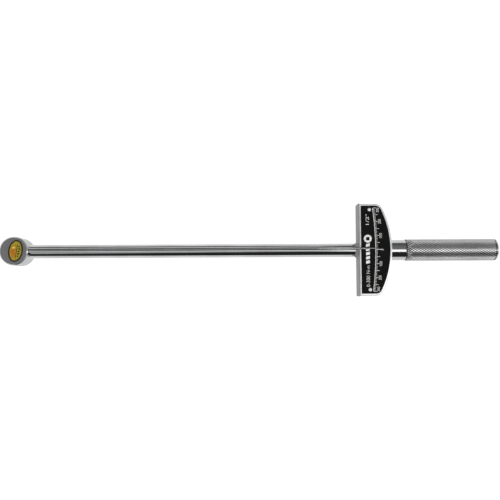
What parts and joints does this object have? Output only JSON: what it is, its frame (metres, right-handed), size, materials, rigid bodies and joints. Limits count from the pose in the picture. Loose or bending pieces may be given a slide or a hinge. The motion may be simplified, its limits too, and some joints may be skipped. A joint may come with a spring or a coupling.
{
  "type": "torque wrench",
  "caption": "Beam torque wrench with a square drive head, a straight pointer rod over a round flexing beam, a D-shaped scale and a knurled steel grip.",
  "frame": {"origin": "centre of the square drive's end face, on the drive axis", "axes": "+X along the beam from the head towards the handle; +Z along the drive axis, out through the head's label face; +Y completes the right-handed frame and is the direction that the scale moves"},
  "size_m": [0.498, 0.0928, 0.0462],
  "materials": {
    "head_chrome": "satin chrome plate on forged steel",
    "ball_steel": "hardened and polished",
    "spring_steel": "drawn wire",
    "pin_steel": "black oxide",
    "label_foil": "gold foil, black border",
    "pointer_chrome": "polished chrome plate",
    "beam_chrome": "polished chrome plate",
    "housing_chrome": "chrome plate on pressed steel",
    "dial_black": "black anodised, white print",
    "rivet_aluminium": "plain",
    "handle_chrome": "chrome plate, diamond knurled grip",
    "cap_chrome": "polished chrome plate"
  },
  "bodies": {
    "head": {"drive_head": "head_chrome", "detent_spring": "spring_steel", "head_pin": "pin_steel", "head_label": "label_foil", "pointer_rod": "pointer_chrome"},
    "beam": {"beam": "beam_chrome"},
    "handle": {"scale_housing": "housing_chrome", "scale_plate": "dial_black", "scale_rivets": "rivet_aluminium", "handle_tube": "handle_chrome", "handle_pin": "pin_steel", "end_cap": "cap_chrome"},
    "detent_ball": {"detent_ball": "ball_steel"}
  },
  "joints": [
    {"name": "beam_flex", "type": "hinge", "parent": "head", "child": "handle", "pos_m": [0.146, 0, 0.029], "axis": [0, 0, 1], "range_deg": [-11.1, 11.1], "stiffness_Nm_per_rad": 1050, "deforming": ["beam"]},
    {"name": "beam_chord", "type": "hinge", "parent": "head", "child": "beam", "pos_m": [0.0142, 0, 0.029], "axis": [0, 0, 1], "range_deg": [-7, 7], "deforming": ["beam"]},
    {"name": "detent_press", "type": "slide", "parent": "head", "child": "detent_ball", "axis": [0, 1, 0], "range_m": [0, 0.001], "stiffness_N_per_m": 2000, "springref_m": -0.002, "deforming": ["detent_spring"]}
  ],
  "couplings": [
    {"joint": "beam_chord", "follows": "beam_flex", "ratio": 0.605}
  ]
}
